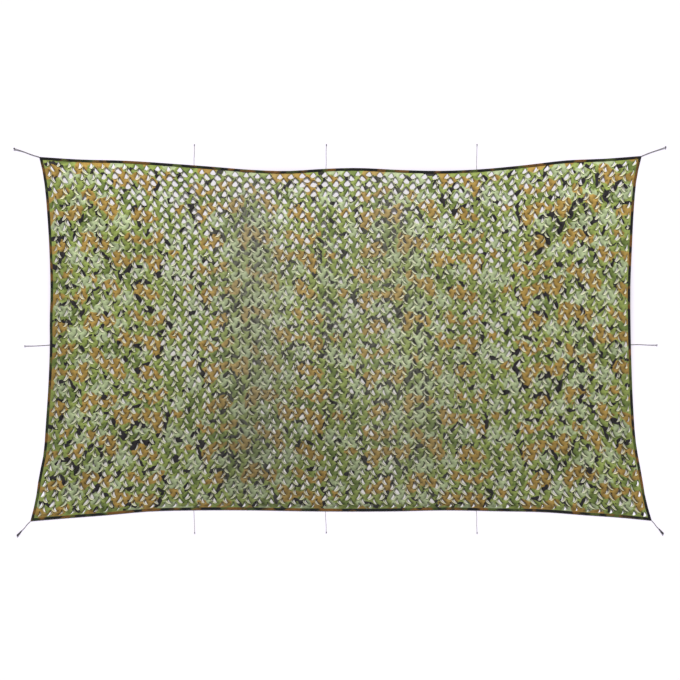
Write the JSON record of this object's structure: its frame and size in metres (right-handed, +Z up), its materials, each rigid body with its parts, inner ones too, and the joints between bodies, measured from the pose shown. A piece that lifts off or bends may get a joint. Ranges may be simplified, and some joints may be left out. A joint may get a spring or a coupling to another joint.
{
  "type": "camouflage net",
  "caption": "Rectangular leaf-cut camouflage net of woodland print cloth, pulled open and lying flat, with a dark folded binding and knotted tie cords round its edge.",
  "frame": {"origin": "on the ground, under the middle of the net without its ties", "axes": "+X along the long side, to the right of the picture; +Y to the picture's top edge; +Z up, out of the net's face"},
  "size_m": [5.3561, 3.2146, 0.0397],
  "materials": {
    "slit_cloth": "matt printed polyester cloth in greens, orange brown and black, paler on its reverse",
    "binding": "dark folded cloth strip, stitched",
    "cord": "matt twisted grey cord",
    "lashing": "black whipping twine wound round the cord's end"
  },
  "bodies": {
    "root": {"net_panel": "slit_cloth", "binding_top": "binding", "binding_bottom": "binding", "binding_left": "binding", "binding_right": "binding", "tie_corner_top_left": "cord", "tie_corner_top_right": "cord", "tie_corner_bottom_left": "cord", "tie_corner_bottom_right": "cord", "tie_top_left": "cord", "tie_top_middle": "cord", "tie_top_right": "cord", "tie_bottom_left": "cord", "tie_bottom_middle": "cord", "tie_bottom_right": "cord", "tie_left": "cord", "tie_right": "cord", "knot_corner_top_left": "cord", "knot_corner_top_right": "cord", "knot_corner_bottom_left": "lashing", "knot_corner_bottom_right": "lashing", "knot_top_left": "cord", "knot_top_middle": "cord", "knot_top_right": "cord", "knot_bottom_left": "cord", "knot_bottom_middle": "cord", "knot_bottom_right": "cord", "knot_left": "cord", "knot_right": "cord"}
  },
  "joints": []
}
